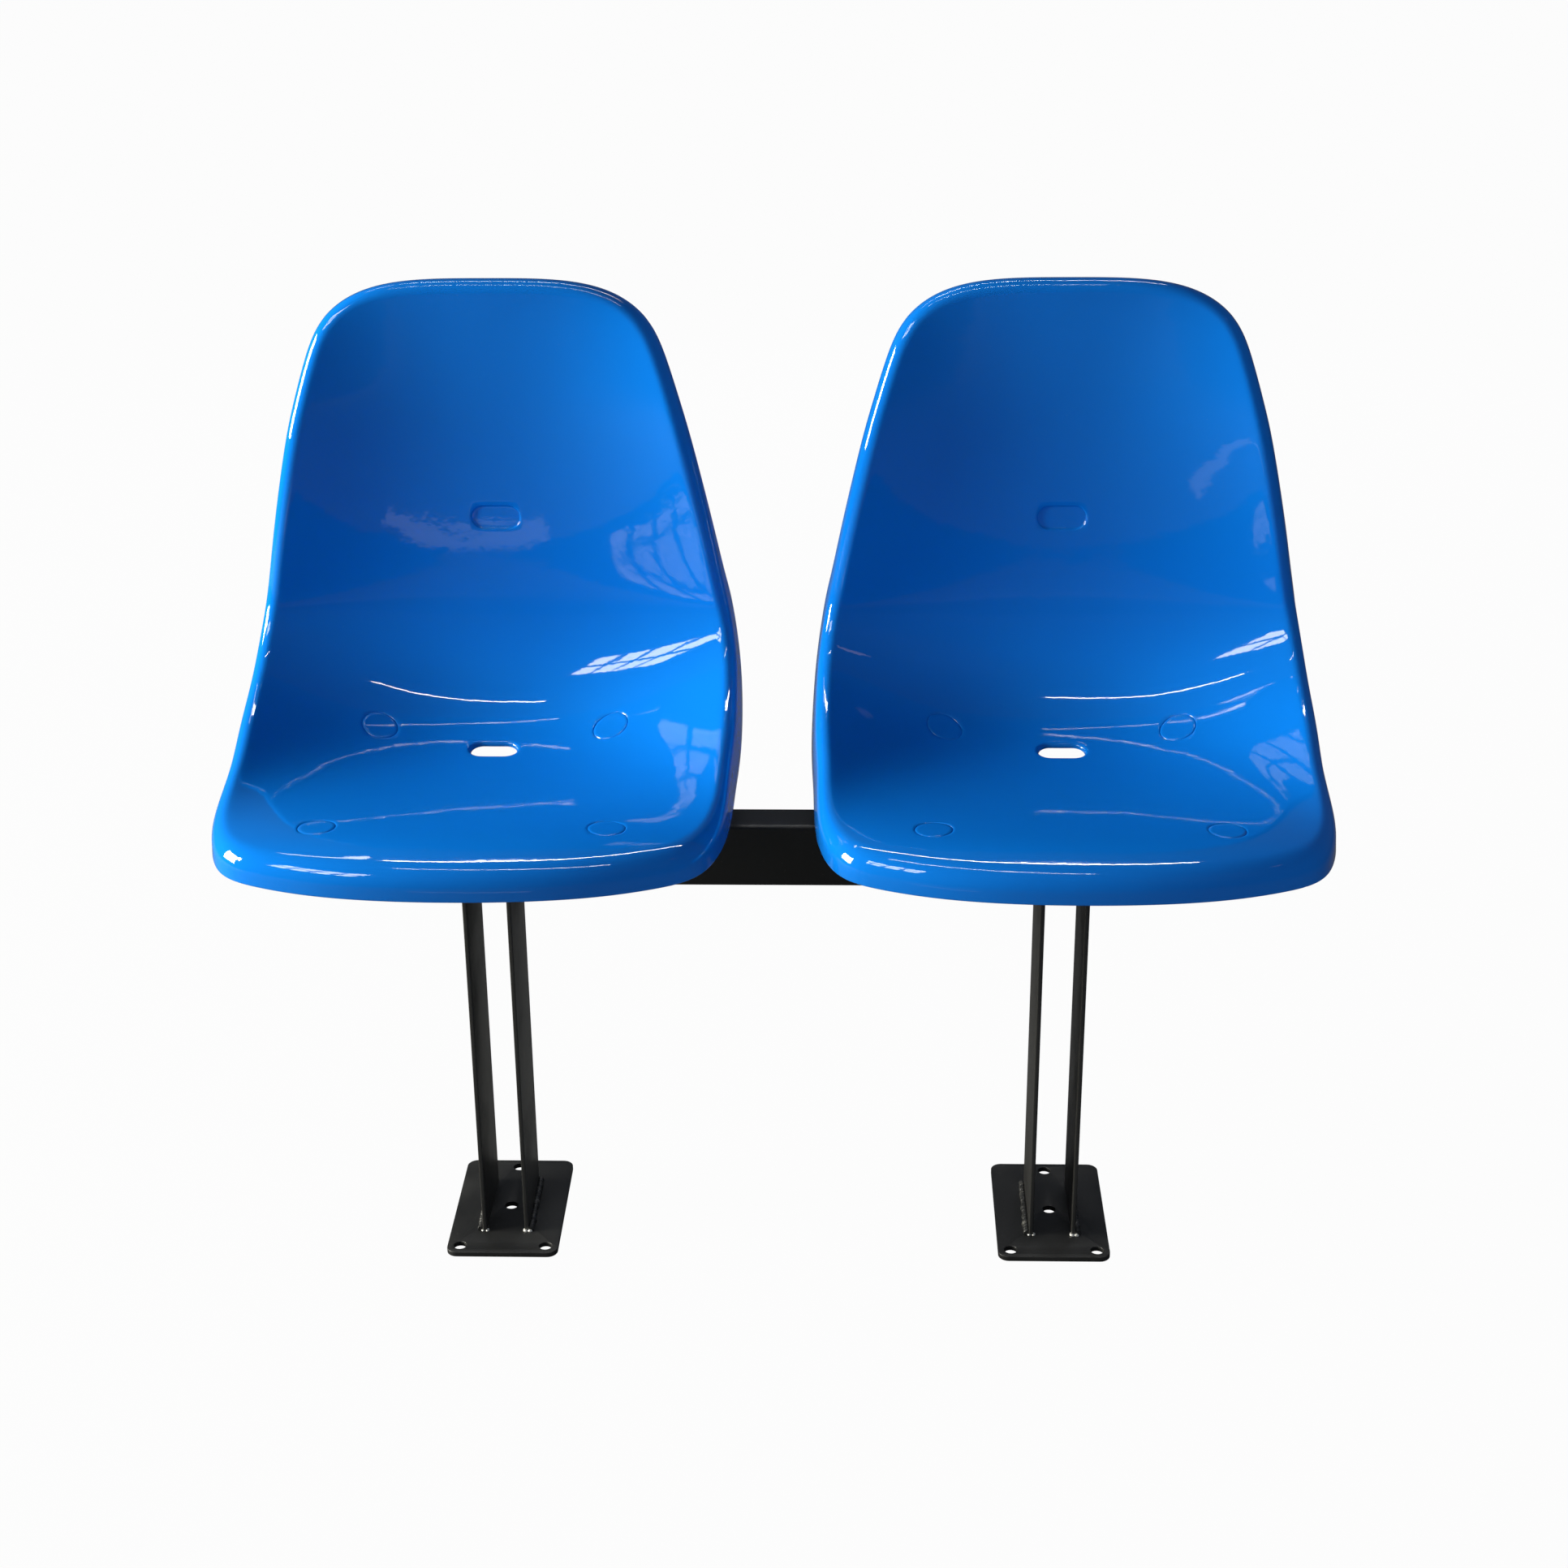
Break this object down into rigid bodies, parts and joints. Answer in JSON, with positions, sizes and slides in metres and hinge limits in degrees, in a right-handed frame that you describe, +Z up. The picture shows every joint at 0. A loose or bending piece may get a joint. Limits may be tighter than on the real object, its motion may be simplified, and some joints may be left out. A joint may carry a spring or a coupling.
{
  "type": "stadium seat bench",
  "caption": "Moulded plastic bucket seats with drain slots, bolted side by side on angle arms to a steel beam that stands on flat-bar legs with drilled foot plates.",
  "frame": {"origin": "on the floor, below the middle of the whole bench's footprint", "axes": "+Z up, +X along the beam towards a sitter's left hand, and a sitter faces -Y"},
  "size_m": [0.9764, 0.3886, 0.875],
  "materials": {
    "seat_plastic": "high-gloss blue moulding",
    "black_paint": "satin black paint with a little dust",
    "fastener_zinc": "bright zinc plate",
    "insert_brass": "plain turned brass",
    "cap_plastic": "matte black moulding"
  },
  "bodies": {
    "root": {"left_seat_shell": "seat_plastic", "left_seat_front_left_insert": "insert_brass", "left_seat_front_left_washer": "fastener_zinc", "left_seat_front_left_bolt": "fastener_zinc", "left_seat_rear_left_insert": "insert_brass", "left_seat_rear_left_washer": "fastener_zinc", "left_seat_rear_left_bolt": "fastener_zinc", "left_seat_front_right_insert": "insert_brass", "left_seat_front_right_washer": "fastener_zinc", "left_seat_front_right_bolt": "fastener_zinc", "left_seat_rear_right_insert": "insert_brass", "left_seat_rear_right_washer": "fastener_zinc", "left_seat_rear_right_bolt": "fastener_zinc", "left_seat_left_arm": "black_paint", "left_seat_left_arm_weld": "black_paint", "left_seat_right_arm": "black_paint", "left_seat_right_arm_weld": "black_paint", "right_seat_shell": "seat_plastic", "right_seat_front_left_insert": "insert_brass", "right_seat_front_left_washer": "fastener_zinc", "right_seat_front_left_bolt": "fastener_zinc", "right_seat_rear_left_insert": "insert_brass", "right_seat_rear_left_washer": "fastener_zinc", "right_seat_rear_left_bolt": "fastener_zinc", "right_seat_front_right_insert": "insert_brass", "right_seat_front_right_washer": "fastener_zinc", "right_seat_front_right_bolt": "fastener_zinc", "right_seat_rear_right_insert": "insert_brass", "right_seat_rear_right_washer": "fastener_zinc", "right_seat_rear_right_bolt": "fastener_zinc", "right_seat_left_arm": "black_paint", "right_seat_left_arm_weld": "black_paint", "right_seat_right_arm": "black_paint", "right_seat_right_arm_weld": "black_paint", "beam": "black_paint", "beam_left_cap": "cap_plastic", "beam_right_cap": "cap_plastic", "left_foot_plate": "black_paint", "left_leg_left_bar": "black_paint", "left_leg_left_bar_foot_weld": "black_paint", "left_leg_left_bar_beam_weld": "black_paint", "left_leg_right_bar": "black_paint", "left_leg_right_bar_foot_weld": "black_paint", "left_leg_right_bar_beam_weld": "black_paint", "right_foot_plate": "black_paint", "right_leg_left_bar": "black_paint", "right_leg_left_bar_foot_weld": "black_paint", "right_leg_left_bar_beam_weld": "black_paint", "right_leg_right_bar": "black_paint", "right_leg_right_bar_foot_weld": "black_paint", "right_leg_right_bar_beam_weld": "black_paint"}
  },
  "joints": []
}
